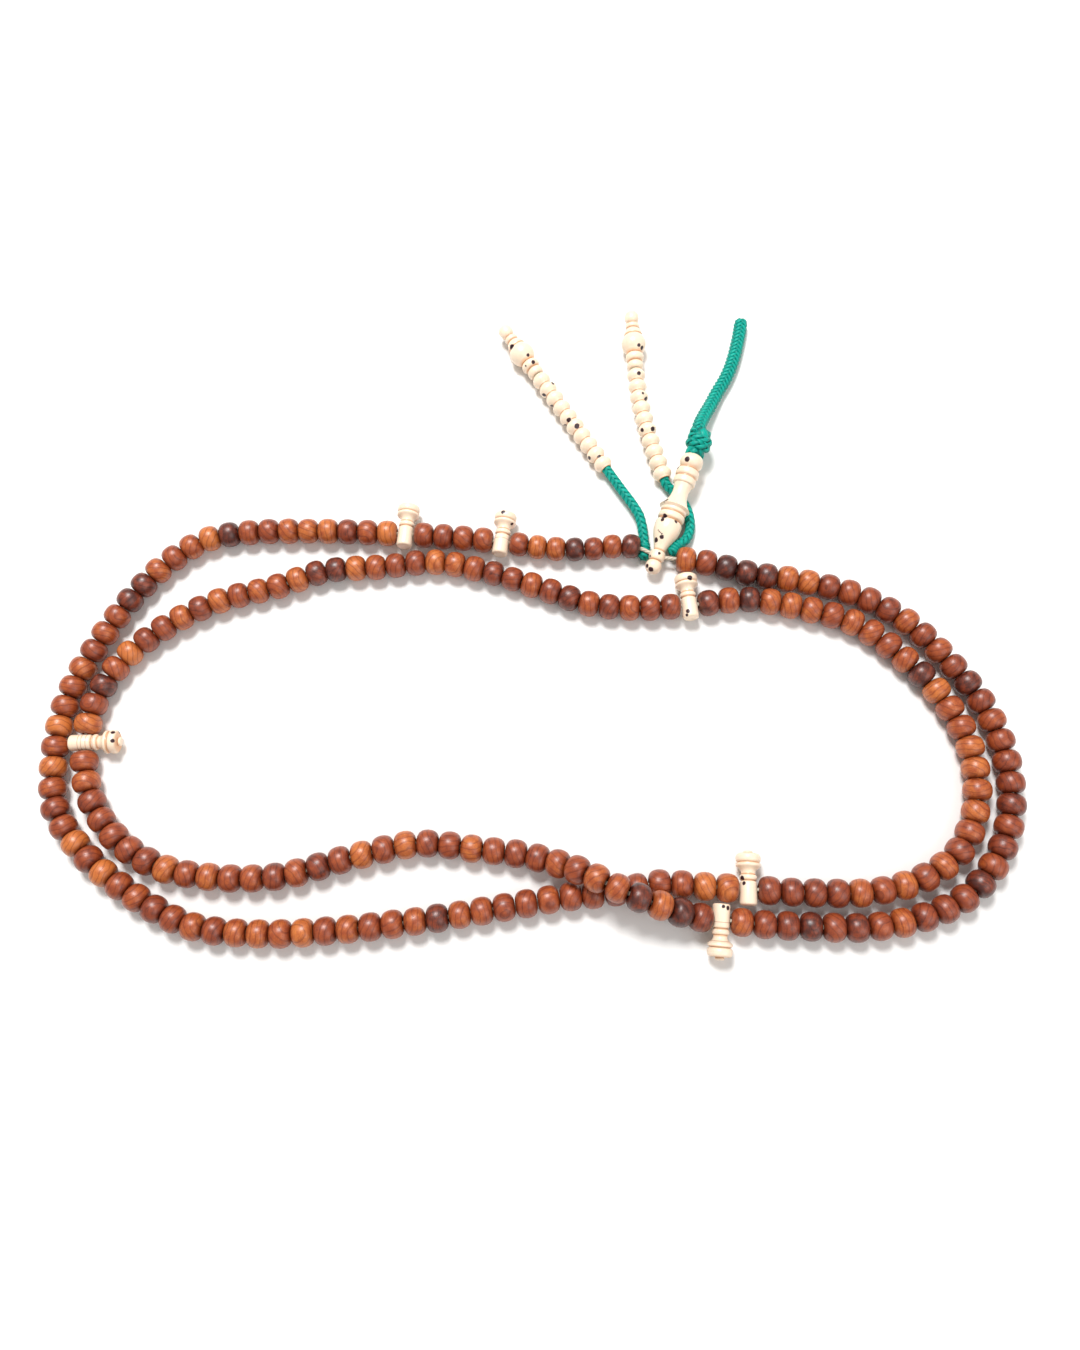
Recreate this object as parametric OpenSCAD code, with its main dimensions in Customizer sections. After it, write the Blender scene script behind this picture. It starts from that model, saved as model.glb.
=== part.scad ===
// A long string of wooden prayer beads, wound twice and laid flat, with six turned marker
// pieces, a turned head piece, two counter strings and a loose braided cord end.
// The table is z = 0. Lengths are in millimetres.

/* [Main beads] */
// Diameter of a wooden bead
bead_d = 8; // [7.4:0.1:8]
// Length of a wooden bead along the string
bead_len = 5.85; // [5.4:0.05:5.85]
// Diameter of the hole through a wooden bead
bead_bore_d = 1.8; // [1.6:0.1:2.2]
// Diameter of the main string
string_d = 1.2; // [0.8:0.1:1.3]

/* [Markers] */
// Length of a marker from its foot to its button
marker_len = 15; // [14:0.5:15.5]
// Diameter of a marker's foot
marker_foot_d = 4.8; // [4.2:0.1:5]
// Diameter of a marker's cap
marker_cap_d = 6.9; // [6:0.1:7]
// Distance from a marker's foot end to its cross hole
marker_bore_at = 4.4; // [4:0.1:4.8]

/* [Head piece] */
// Diameter of the head piece's two bulbs
head_bulb_d = 8.3; // [7.5:0.1:8.4]
// Diameter of the head piece's waist
head_waist_d = 5; // [4.4:0.1:5.2]
// Diameter of the head piece's cap
head_cap_d = 7.3; // [6.5:0.1:7.4]
// Diameter of the ball at the head piece's foot
head_ball_d = 5; // [4.4:0.1:5]
// Upward tilt of the head piece, which lies over a cord, in degrees
head_rise = 4.3; // [4:0.1:5]

/* [Counter strings] */
// Number of beads on each counter string
counter_beads = 10; // [10:10]
// Diameter of a counter bead
counter_d = 5.9; // [5.4:0.1:5.9]
// Length of a counter bead along its cord
counter_len = 3.85; // [3.5:0.05:3.9]
// Diameter of the hole through a counter bead
counter_bore_d = 3.4; // [3.2:0.1:3.4]
// Distance between two counter beads
counter_pitch = 4; // [3.95:0.01:4.05]
// Diameter of a finial's ball
finial_ball_d = 8; // [7:0.1:8.2]

/* [Cords] */
// Diameter of the braided cord of a counter string
counter_cord_d = 2.9; // [2.4:0.1:2.9]
// Diameter of the loose braided cord at the head
end_cord_d = 4.1; // [3.6:0.1:4.2]
// Diameter of the knot at the head
knot_d = 8.2; // [7:0.1:8.2]

/* [Hidden] */
$fn = 48;

// Points of the main string, from the head's cross hole round both turns and back
MAIN_ROUTE = [
    [39, 15.8, 4], [34.2, 18.2, 4], [31, 19, 4], [26, 18.9, 4], [20, 18, 4], [8, 17.8, 4],
    [-9, 19.9, 4], [-26, 21.4, 4],
    [-49, 22.5, 4], [-74, 22.7, 4], [-88, 22, 4], [-101, 19.4, 4], [-111, 12.5, 4],
    [-121, 0.5, 4], [-130, -16, 4], [-136.3, -34, 4], [-137, -52, 4], [-134, -66, 4],
    [-124, -78, 4], [-107, -90, 4], [-90, -97.5, 4], [-72, -99, 4], [-50, -97.5, 4],
    [-28, -94.5, 4], [-3, -90, 4], [14, -86.8, 4], [27, -85.2, 4], [39, -82.6, 4], [51, -83, 4],
    [64, -83.5, 4], [82, -84, 4], [98, -83.2, 4], [112.5, -78.6, 4], [121.8, -71.4, 4],
    [127, -60.5, 4], [127.5, -43, 4], [122, -29.5, 4], [111, -16, 4], [98, -5.5, 4],
    [82, -0.5, 4], [66, 2, 4], [50, 0.1, 4], [35, -1.2, 4], [20, -0.4, 4], [2, 5.4, 4],
    [-15, 10.4, 4], [-28, 12.8, 4], [-45, 11, 4], [-64, 9, 4], [-76, 4.4, 4], [-96, -1.6, 4],
    [-111, -10.5, 4], [-122, -21.5, 4], [-127.5, -33, 4], [-128.5, -48, 4], [-125, -61, 4],
    [-116, -73, 4], [-103, -81, 4], [-86, -84, 4], [-68, -83.4, 4], [-46, -77.2, 4],
    [-28, -73.2, 4], [-10, -74.6, 4], [-2, -75.2, 4], [5, -76.4, 4.4], [10, -77.8, 5.8], [15, -79.4, 8.2],
    [21, -82, 11], [27, -84.8, 12.2], [33, -87.2, 11.8], [39, -89, 10], [45, -90.6, 7.4],
    [51, -91.6, 5], [57, -92, 4.1], [64, -92.6, 4], [79, -93, 4], [97, -92.6, 4], [111, -89.5, 4],
    [123, -83.5, 4], [132, -73, 4], [137, -59, 4], [137, -45, 4], [132.5, -30, 4],
    [124, -17, 4], [112, -4, 4], [100, 3.2, 4], [84, 7.9, 4], [66, 10.6, 4], [54, 13.8, 4],
    [47.5, 14.7, 4]
];

// Beads in each stretch of the main string: head to marker 1, then marker to marker, then head
STRETCH_BEADS = [7, 4, 59, 30, 33, 33, 37];
// Size of the beads in each stretch against the nominal bead
STRETCH_SIZE = [0.93, 1, 1, 1, 0.99, 1.01, 1];
// Side that each marker stands out to: 1 is right of the string's run, -1 is left of it
MARKER_SIDE = [1, 1, -1, 1, -1, 1];

curve_steps = 12;
string_sides = 8;
cord_sides = 8;
string_clear = 0.2;
head_ring_d = 4.9;
head_ring_gap = 3.3;
head_slot = head_ring_d / 2 + head_ring_gap;
marker_slot = marker_foot_d + 2 * string_clear;
marker_droop = 3.2;

// Straight run of the left counter string: its swing pivot and the middle of its finial's ball
LEFT_PIVOT = [32.3, 32.6, 2.7];
LEFT_BALL = [-3.8, 85.9, 4.1];
// Points of the left counter cord from under the main string to its swing pivot
LEFT_ROOT_ROUTE = [
    [34.9, 15.4, 1.8], [35.2, 18, 1.75], [35.2, 21, 1.8],
    [34.9, 24.2, 2.1], [34.4, 27.2, 2.4], [33.6, 30.2, 2.6]
];
// Distance along the left run from the pivot to the first bead's middle
left_first = 18.1;

// Points of the right counter cord from the main string, under the head, to its swing pivot
RIGHT_ROOT_ROUTE = [
    [43.3, 16.2, 4], [44.9, 19.3, 3.3], [48.1, 22.4, 2.2], [49.4, 26.2, 1.5],
    [49.2, 30.6, 1.5], [47.7, 34.8, 1.5], [44.9, 38.6, 1.7]
];
RIGHT_PIVOT = [42.2, 41, 2.3];
// Points of the right counter cord from its pivot to the middle of its finial's ball
RIGHT_ROUTE = [
    [42.2, 41, 2.3], [41.2, 43.4, 3], [39.8, 47.5, 3.05], [38.1, 53, 3.1], [36.4, 59, 3.3],
    [34.8, 65.5, 3.5], [33.4, 72.5, 3.7], [32.6, 79.5, 3.9], [32.2, 84.5, 4], [31.9, 91.6, 4.1]
];
// Distance along the right run from the pivot to the first bead's middle
right_first = 3.8;

// Points of the loose cord end from the middle of the knot to its tip
END_ROUTE = [
    [51.6, 53, 6.9], [52, 58.4, 6.4], [53.8, 63.6, 4.6], [56.6, 69.6, 2.8], [58.8, 74.4, 2.2],
    [61.6, 79.6, 2.15], [63.8, 85.2, 2.15], [65.6, 92, 2.15], [66.8, 98, 2.15], [67.4, 102.4, 2.15]
];

pivot_gap = 0.7;
finial_bead_gap = 0.3;
finial_socket = 5;
finial_ball_at = 9.6;
finial_len = 22;
head_top = 35.2;
knot_at = head_top + knot_d / 2 + 0.15;

// Curves through points

function tangent(a, b, c) =
    let (u = norm(b - a), v = norm(c - b))
    ((b - a) / u * v + (c - b) / v * u) / (u + v);

function hermite(p, q, m, n, u) =
    (2 * u ^ 3 - 3 * u ^ 2 + 1) * p + (u ^ 3 - 2 * u ^ 2 + u) * m
    + (3 * u ^ 2 - 2 * u ^ 3) * q + (u ^ 3 - u ^ 2) * n;

function tangents(pts, closed) =
    let (n = len(pts))
    [for (i = [0 : n - 1])
        closed || (i > 0 && i < n - 1)
            ? tangent(pts[(i + n - 1) % n], pts[i], pts[(i + 1) % n])
            : let (k = min(i, n - 2)) (pts[k + 1] - pts[k]) / norm(pts[k + 1] - pts[k])];

function curve(pts, closed = false) =
    let (n = len(pts), t = tangents(pts, closed), spans = closed ? n : n - 1)
    [for (i = [0 : spans - 1])
        let (q = pts[(i + 1) % n], h = norm(q - pts[i]))
        for (k = [0 : curve_steps - 1])
            hermite(pts[i], q, t[i] * h, t[(i + 1) % n] * h, k / curve_steps),
     pts[closed ? 0 : n - 1]];

function run_of(c) =
    [for (i = 0, s = 0; i < len(c); i = i + 1, s = s + (i < len(c) ? norm(c[i] - c[i - 1]) : 0)) s];

// A route is three lookup tables of x, y and z against the distance along it, and its length
function route(pts, closed = false) =
    let (c = curve(pts, closed), r = run_of(c), last = len(c) - 1)
    [for (axis = [0 : 2]) [for (i = [0 : last]) [r[i], c[i][axis]]], r[last], closed];

function route_len(r) = r[3];

function wrap(r, s) = r[4] ? s - r[3] * floor(s / r[3]) : s;

function at(r, s) =
    let (w = wrap(r, s))
    [lookup(w, r[0]), lookup(w, r[1]), lookup(w, r[2])];

function heading(r, s) =
    let (d = at(r, s + 0.4) - at(r, s - 0.4))
    d / norm(d);

// Places on the main string

main = route(MAIN_ROUTE, true);
stretch_total = [for (k = 0, s = 0; k <= 7; s = s + (k < 7 ? STRETCH_BEADS[k] * STRETCH_SIZE[k] : 0),
    k = k + 1) s];
main_pitch = (route_len(main) - 2 * head_slot - 6 * marker_slot) / stretch_total[7];

function stretch_start(k) = head_slot + main_pitch * stretch_total[k] + marker_slot * k;
function stretch_pitch(k) = main_pitch * STRETCH_SIZE[k];
function bead_run(k, i) = stretch_start(k) + (i + 0.5) * stretch_pitch(k);
function marker_run(k) = stretch_start(k) - marker_slot / 2;

// Solids

module along(p, d) {
    translate(p)
        rotate([0, acos(d[2]), atan2(d[1], d[0])])
            children();
}

// A tube of straight lengths between points, each with a ring square to its heading
module tube(pts, dirs, d, sides, closed = false) {
    n = len(pts);
    ring = [for (i = [0 : n - 1])
        let (across = cross(dirs[i], [0, 0, 1]) / norm(cross(dirs[i], [0, 0, 1])),
            up = cross(across, dirs[i]))
        for (k = [0 : sides - 1])
            pts[i] + d / 2 * (cos(360 * k / sides) * across + sin(360 * k / sides) * up)];
    walls = [for (i = [0 : n - (closed ? 1 : 2)])
        for (k = [0 : sides - 1])
            let (a = i * sides, b = (i + 1) % n * sides, l = (k + 1) % sides)
            [a + k, b + k, b + l, a + l]];
    ends = closed ? [] : [
        [for (k = [0 : sides - 1]) k],
        [for (k = [sides - 1 : -1 : 0]) (n - 1) * sides + k]
    ];
    polyhedron(points = ring, faces = concat(walls, ends));
}

// A round bead that is a disc swollen by a ball, with its hole along z
module round_bead(d, length, bore) {
    rotate_extrude()
        intersection() {
            translate([(d - length) / 2, 0])
                circle(d = length);
            translate([bore / 2, -length])
                square([d, 2 * length]);
        }
}

module wooden_bead(k, i) {
    s = bead_run(k, i);
    size = STRETCH_SIZE[k];
    color("sienna")
        along(at(main, s), heading(main, s))
            round_bead(bead_d * size, bead_len * size, bead_bore_d);
}

module wooden_beads(k, first, last) {
    for (i = [first : last])
        wooden_bead(k, i);
}

module main_string() {
    runs = concat(
        [-head_slot / 2, 0, head_slot / 2],
        [for (k = [0 : 6]) for (i = [0 : STRETCH_BEADS[k]])
            stretch_start(k) + i * stretch_pitch(k)]
    );
    color("linen")
        tube([for (s = runs) at(main, s)], [for (s = runs) heading(main, s)],
            string_d, string_sides, closed = true);
}

// Half outline of a rounded ring from radius 0 outwards
module bulge(from, to, r, round) {
    hull_r = min(round, (to - from) / 2);
    translate([0, from])
        square([r - hull_r, to - from]);
    translate([0, from + hull_r])
        square([r, to - from - 2 * hull_r]);
    for (y = [from + hull_r, to - hull_r])
        translate([r - hull_r, y])
            circle(r = hull_r);
}

module turned(clip_len) {
    rotate_extrude()
        intersection() {
            children();
            translate([0, -clip_len])
                square([clip_len, 2 * clip_len]);
        }
}

// A plain core of a turned piece between two heights
module core(from, to, r) {
    translate([0, from])
        square([r, to - from]);
}

module marker_body() {
    foot = 6.6;
    ring_top = 8.3;
    neck_r = 1.95;
    cap_r = marker_cap_d / 2;
    rim = marker_len - 4.4;
    groove = marker_len - 3.6;
    cap = marker_len - 3.4;
    translate([0, 0, -marker_bore_at])
        difference() {
            turned(marker_len + 1) {
                bulge(0, foot, marker_foot_d / 2, 0.7);
                core(1, rim, neck_r);
                bulge(foot + 0.15, ring_top, marker_foot_d / 2, 0.6);
                polygon([[0, rim - 1.7], [neck_r, rim - 1.7], [neck_r + 0.4, rim - 0.8],
                    [cap_r - 0.4, rim - 0.2], [cap_r - 0.05, rim + 0.1], [cap_r - 0.05, groove - 0.15],
                    [cap_r - 0.2, groove], [0, groove]]);
                core(groove - 0.4, cap + 0.6, cap_r - 0.45);
                bulge(cap, marker_len - 0.9, cap_r, 0.9);
                bulge(marker_len - 1.3, marker_len, 1.35, 0.5);
            }
            translate([0, 0, marker_bore_at])
                rotate([90, 0, 0])
                    cylinder(d = bead_bore_d, h = 2 * marker_cap_d, center = true);
        }
}

module marker(k) {
    s = marker_run(k);
    d = heading(main, s);
    color("antiquewhite")
        translate(at(main, s))
            rotate([0, 0, atan2(d[1], d[0]) - 90 * MARKER_SIDE[k - 1]])
                rotate([0, 90 + marker_droop, 0])
                    marker_body();
}

// The head piece along z, with its cross hole at the origin and its cap upwards
module head_body() {
    ball_end = -6;
    neck_r = 1.65;
    bulb_r = head_bulb_d / 2;
    swell = bulb_r - neck_r;
    waist_r = head_waist_d / 2;
    cap_r = head_cap_d / 2;
    difference() {
        turned(50) {
            translate([0, ball_end + head_ball_d / 2])
                circle(d = head_ball_d);
            core(-3, 4, neck_r);
            bulge(-1.7, 1.6, head_ring_d / 2, 1);
            polygon([[0, 1.4], [neck_r, 1.4], [neck_r + 0.06 * swell, 2], [neck_r + 0.18 * swell, 3],
                [neck_r + 0.32 * swell, 4], [neck_r + 0.62 * swell, 5.8], [neck_r + 0.86 * swell, 7.4],
                [neck_r + 0.97 * swell, 8.3], [bulb_r, 9.1], [bulb_r, 9.9], [0, 9.9]]);
            bulge(8.4, 11.8, bulb_r, 1.5);
            core(10.6, 13.2, bulb_r - 0.45);
            bulge(12, 17.4, bulb_r, 1.6);
            difference() {
                core(15, 25.6, bulb_r);
                translate([waist_r + 8.2, 22])
                    circle(r = 8.2);
            }
            bulge(24.6, 27, cap_r - 0.15, 0.7);
            core(25.6, 31, cap_r - 0.5);
            bulge(27.2, 29.8, cap_r, 0.8);
            bulge(30, head_top, cap_r, 2.5);
        }
        rotate([90, 0, 0])
            cylinder(d = bead_bore_d, h = 3 * head_bulb_d, center = true);
        translate([0, 0, 26])
            cylinder(d = 2, h = 20);
    }
}

head_heading = heading(main, 0);
head_turn = atan2(head_heading[1], head_heading[0]) - 90;

module on_head() {
    translate(at(main, 0))
        rotate([0, 0, head_turn])
            rotate([0, 90 - head_rise, 0])
                children();
}

module head_piece() {
    color("antiquewhite")
        on_head()
            head_body();
}

// The knot sits on the head's cap, and the cord end turns about its middle
module cord_knot() {
    color("teal")
        on_head()
            translate([0, 0, knot_at])
                sphere(d = knot_d);
}

module cord(pts, d, from, spacing) {
    r = route(pts);
    count = max(2, round((route_len(r) - from) / spacing));
    runs = [for (i = [0 : count]) from + (route_len(r) - from) * i / count];
    color("teal")
        tube([for (s = runs) at(r, s)], [for (s = runs) heading(r, min(max(s, 0.4), route_len(r) - 0.4))],
            d, cord_sides);
}

left_run = LEFT_BALL - LEFT_PIVOT;
left_dir = left_run / norm(left_run);
left_last = left_first + (counter_beads - 1) * counter_pitch;
left_finial_at = left_last + counter_pitch / 2 + finial_bead_gap;

right = route(RIGHT_ROUTE);
right_last = right_first + (counter_beads - 1) * counter_pitch;
right_finial_at = right_last + counter_pitch / 2 + finial_bead_gap;

module left_cord_root() {
    cord(concat(LEFT_ROOT_ROUTE, [LEFT_PIVOT - left_dir * pivot_gap]), counter_cord_d, 0, 3);
}

module left_cord() {
    cord([LEFT_PIVOT, LEFT_PIVOT + left_dir * (left_finial_at + finial_socket - 0.3)],
        counter_cord_d, pivot_gap, 20);
}

module counter_bead() {
    color("antiquewhite")
        round_bead(counter_d, counter_len, counter_bore_d);
}

module left_counter(i) {
    along(LEFT_PIVOT + left_dir * (left_first + (i - 1) * counter_pitch), left_dir)
        counter_bead();
}

module right_counter(i) {
    s = right_first + (i - 1) * counter_pitch;
    along(at(right, s), heading(right, s))
        counter_bead();
}

// A counter string's finial along z: two rings, a ball, a flare, a small ring and a knob
module finial_body() {
    ball_r = finial_ball_d / 2;
    difference() {
        turned(2 * finial_len) {
            bulge(0, 2.85, 2.6, 1.2);
            square([2.2, 6]);
            bulge(2.95, 5.8, 2.95, 1.2);
            translate([0, finial_ball_at])
                circle(r = ball_r);
            polygon([[0, 12], [3.1, 12], [2.9, 14], [2.2, 15.2], [0, 15.2]]);
            square([1.7, 17.4]);
            bulge(15.3, 17.1, 2.3, 0.7);
            bulge(17.2, finial_len, 2.3, 2);
        }
        translate([0, 0, -1])
            cylinder(d = counter_bore_d, h = finial_socket + 1);
    }
}

module left_finial() {
    color("antiquewhite")
        along(LEFT_PIVOT + left_dir * left_finial_at, left_dir)
            finial_body();
}

module right_finial() {
    color("antiquewhite")
        along(at(right, right_finial_at), heading(right, right_finial_at + finial_socket / 2))
            finial_body();
}

module right_cord_root() {
    cord(concat(RIGHT_ROOT_ROUTE, [RIGHT_PIVOT + pivot_gap * [0.55, -0.83, -0.1]]),
        counter_cord_d, 0, 3);
}

module right_cord() {
    socket_end = right_finial_at + finial_socket - 0.3;
    rings = 14;
    runs = [for (i = [0 : rings]) pivot_gap + (socket_end - pivot_gap) * i / rings];
    color("teal")
        tube([for (s = runs) at(right, s)], [for (s = runs) heading(right, s)],
            counter_cord_d, cord_sides);
}

module cord_end() {
    cord(END_ROUTE, end_cord_d, knot_d / 2 + 0.4, 8);
}

main_string();
head_piece();
for (k = [1 : 6])
    marker(k);
for (i = [1 : 7])
    wooden_bead(0, i - 1);
for (i = [1 : 4])
    wooden_bead(1, i - 1);
wooden_beads(2, 0, 19);  // outer_beads_top
wooden_beads(2, 20, 39);  // outer_beads_left
wooden_beads(2, 40, 58);  // outer_beads_front
wooden_beads(3, 0, 14);  // inner_beads_right_low
wooden_beads(3, 15, 29);  // inner_beads_right_high
wooden_beads(4, 0, 15);  // inner_beads_top
wooden_beads(4, 16, 32);  // inner_beads_left
wooden_beads(5, 0, 16);  // inner_beads_front
wooden_beads(5, 17, 32);  // crossing_beads
wooden_beads(6, 0, 17);  // outer_beads_right_low
wooden_beads(6, 18, 36);  // outer_beads_right_high
left_cord_root();
left_cord();
left_finial();
right_cord_root();
right_cord();
right_finial();
cord_knot();
cord_end();
for (i = [1 : counter_beads])
    left_counter(i);
for (i = [1 : counter_beads])
    right_counter(i);
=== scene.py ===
import math
import random
from bisect import bisect_right

import bpy
from bpy.props import FloatProperty, FloatVectorProperty, IntProperty, PointerProperty
from mathutils import Matrix, Vector


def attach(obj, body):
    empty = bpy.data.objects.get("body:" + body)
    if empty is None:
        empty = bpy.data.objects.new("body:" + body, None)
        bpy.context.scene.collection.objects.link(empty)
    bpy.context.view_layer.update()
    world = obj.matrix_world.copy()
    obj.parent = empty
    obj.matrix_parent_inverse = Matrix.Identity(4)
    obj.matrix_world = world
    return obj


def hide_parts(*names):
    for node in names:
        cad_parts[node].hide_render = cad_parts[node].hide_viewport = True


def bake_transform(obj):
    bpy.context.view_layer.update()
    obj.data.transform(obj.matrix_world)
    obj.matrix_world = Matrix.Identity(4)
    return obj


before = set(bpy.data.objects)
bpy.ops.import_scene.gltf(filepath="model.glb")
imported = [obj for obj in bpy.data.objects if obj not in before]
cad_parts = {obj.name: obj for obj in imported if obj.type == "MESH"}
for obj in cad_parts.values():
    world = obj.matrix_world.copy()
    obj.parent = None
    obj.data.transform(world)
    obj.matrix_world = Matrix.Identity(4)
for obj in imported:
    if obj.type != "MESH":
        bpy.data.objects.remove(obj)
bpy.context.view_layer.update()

bl_info = {
    "name": "Strung Prayer Beads",
    "version": (1, 0, 0),
    "blender": (4, 5, 0),
    "location": "3D View > Sidebar > Prayer Beads",
    "description": "Models a long string of turned wooden beads with its markers and cords",
    "category": "Add Mesh",
}

MM = 0.001

# Routes of the strings, in millimetres, as the frame's own solids follow them
MAIN_ROUTE = [
    (39, 15.8, 4), (34.2, 18.2, 4), (31, 19, 4), (26, 18.9, 4), (20, 18, 4), (8, 17.8, 4),
    (-9, 19.9, 4), (-26, 21.4, 4),
    (-49, 22.5, 4), (-74, 22.7, 4), (-88, 22, 4), (-101, 19.4, 4), (-111, 12.5, 4),
    (-121, 0.5, 4), (-130, -16, 4), (-136.3, -34, 4), (-137, -52, 4), (-134, -66, 4),
    (-124, -78, 4), (-107, -90, 4), (-90, -97.5, 4), (-72, -99, 4), (-50, -97.5, 4),
    (-28, -94.5, 4), (-3, -90, 4), (14, -86.8, 4), (27, -85.2, 4), (39, -82.6, 4), (51, -83, 4),
    (64, -83.5, 4), (82, -84, 4), (98, -83.2, 4), (112.5, -78.6, 4), (121.8, -71.4, 4),
    (127, -60.5, 4), (127.5, -43, 4), (122, -29.5, 4), (111, -16, 4), (98, -5.5, 4),
    (82, -0.5, 4), (66, 2, 4), (50, 0.1, 4), (35, -1.2, 4), (20, -0.4, 4), (2, 5.4, 4),
    (-15, 10.4, 4), (-28, 12.8, 4), (-45, 11, 4), (-64, 9, 4), (-76, 4.4, 4), (-96, -1.6, 4),
    (-111, -10.5, 4), (-122, -21.5, 4), (-127.5, -33, 4), (-128.5, -48, 4), (-125, -61, 4),
    (-116, -73, 4), (-103, -81, 4), (-86, -84, 4), (-68, -83.4, 4), (-46, -77.2, 4),
    (-28, -73.2, 4), (-10, -74.6, 4), (-2, -75.2, 4), (5, -76.4, 4.4), (10, -77.8, 5.8),
    (15, -79.4, 8.2), (21, -82, 11), (27, -84.8, 12.2), (33, -87.2, 11.8), (39, -89, 10),
    (45, -90.6, 7.4), (51, -91.6, 5), (57, -92, 4.1), (64, -92.6, 4), (79, -93, 4),
    (97, -92.6, 4), (111, -89.5, 4), (123, -83.5, 4), (132, -73, 4), (137, -59, 4),
    (137, -45, 4), (132.5, -30, 4), (124, -17, 4), (112, -4, 4), (100, 3.2, 4), (84, 7.9, 4),
    (66, 10.6, 4), (54, 13.8, 4), (47.5, 14.7, 4),
]
LEFT_ROOT_ROUTE = [
    (34.9, 15.4, 1.8), (35.2, 18, 1.75), (35.2, 21, 1.8), (34.9, 24.2, 2.1), (34.4, 27.2, 2.4),
    (33.6, 30.2, 2.6),
]
LEFT_PIVOT = Vector((32.3, 32.6, 2.7))
LEFT_BALL = Vector((-3.8, 85.9, 4.1))
LEFT_FIRST = 18.1
RIGHT_ROOT_ROUTE = [
    (43.3, 16.2, 4), (44.9, 19.3, 3.3), (48.1, 22.4, 2.2), (49.4, 26.2, 1.5), (49.2, 30.6, 1.5),
    (47.7, 34.8, 1.5), (44.9, 38.6, 1.7),
]
RIGHT_ROUTE = [
    (42.2, 41, 2.3), (41.2, 43.4, 3), (39.8, 47.5, 3.05), (38.1, 53, 3.1), (36.4, 59, 3.3),
    (34.8, 65.5, 3.5), (33.4, 72.5, 3.7), (32.6, 79.5, 3.9), (32.2, 84.5, 4), (31.9, 91.6, 4.1),
]
RIGHT_FIRST = 3.8
END_ROUTE = [
    (51.6, 53, 6.9), (52, 58.4, 6.4), (53.8, 63.6, 4.6), (56.6, 69.6, 2.8), (58.8, 74.4, 2.2),
    (61.6, 79.6, 2.15), (63.8, 85.2, 2.15), (65.6, 92, 2.15), (66.8, 98, 2.15), (67.4, 102.4, 2.15),
]
# Beads from the head to the first marker, from marker to marker, and back to the head
STRETCH_BEADS = (7, 4, 59, 30, 33, 33, 37)
STRETCH_SIZE = (0.93, 1, 1, 1, 0.99, 1.01, 1)
MARKER_SIDE = (1, 1, -1, 1, -1, 1)
# Nodes of each stretch, with their first and last bead in it
BEAD_GROUPS = (
    ("outer_beads_top", 2, 0, 19), ("outer_beads_left", 2, 20, 39),
    ("outer_beads_front", 2, 40, 58), ("inner_beads_right_low", 3, 0, 14),
    ("inner_beads_right_high", 3, 15, 29), ("inner_beads_top", 4, 0, 15),
    ("inner_beads_left", 4, 16, 32), ("inner_beads_front", 5, 0, 16),
    ("crossing_beads", 5, 17, 32), ("outer_beads_right_low", 6, 0, 17),
    ("outer_beads_right_high", 6, 18, 36),
)
HEAD_SLOT = 5.75
MARKER_SLOT = 5.2
MARKER_DROOP = 3.2
HEAD_RISE = 4.3
COUNTERS = 10
COUNTER_PITCH = 4
CURVE_STEPS = 12


# ---- Sizes and colours a user would change ----

class BeadSizes(bpy.types.PropertyGroup):
    """Sizes of the wooden beads and their thread"""

    diameter: FloatProperty(
        name="Bead diameter", description="Across a wooden bead", default=8 * MM,
        min=7.4 * MM, max=8 * MM, unit="LENGTH")
    length: FloatProperty(
        name="Bead length", description="Along the string", default=6.15 * MM,
        min=5.4 * MM, max=6.2 * MM, unit="LENGTH")
    bore: FloatProperty(
        name="Bead hole", description="Diameter of the hole through a wooden bead",
        default=1.8 * MM, min=1.6 * MM, max=2.2 * MM, unit="LENGTH")
    thread: FloatProperty(
        name="Thread", description="Diameter of the main thread", default=1.2 * MM,
        min=0.8 * MM, max=1.3 * MM, unit="LENGTH")
    unevenness: FloatProperty(
        name="Unevenness", description="How much one turned bead differs from the next",
        default=0.02, min=0, max=0.05, subtype="FACTOR")
    seed: IntProperty(
        name="Seed", description="Picks the tone and the grain of each bead", default=11, min=0)


class CordSizes(bpy.types.PropertyGroup):
    """Sizes of the braided cords and the counter beads"""

    counter_cord: FloatProperty(
        name="Counter cord", description="Diameter of a counter string's braid",
        default=2.9 * MM, min=2.4 * MM, max=2.9 * MM, unit="LENGTH")
    end_cord: FloatProperty(
        name="Cord end", description="Diameter of the loose braid at the head",
        default=4.1 * MM, min=3.6 * MM, max=4.2 * MM, unit="LENGTH")
    counter: FloatProperty(
        name="Counter bead", description="Diameter of a counter bead", default=5.9 * MM,
        min=5.4 * MM, max=5.9 * MM, unit="LENGTH")
    counter_length: FloatProperty(
        name="Counter bead length", description="Along its cord", default=3.9 * MM,
        min=3.5 * MM, max=3.95 * MM, unit="LENGTH")


def colour(name, description, value):
    return FloatVectorProperty(
        name=name, description=description, default=linear(value), subtype="COLOR",
        size=3, min=0, max=1)


def linear(hex_value):
    """The linear colour of an sRGB hex value"""
    parts = [int(hex_value[i:i + 2], 16) / 255 for i in (1, 3, 5)]
    return tuple(c / 12.92 if c <= 0.04045 else ((c + 0.055) / 1.055) ** 2.4 for c in parts)


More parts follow.
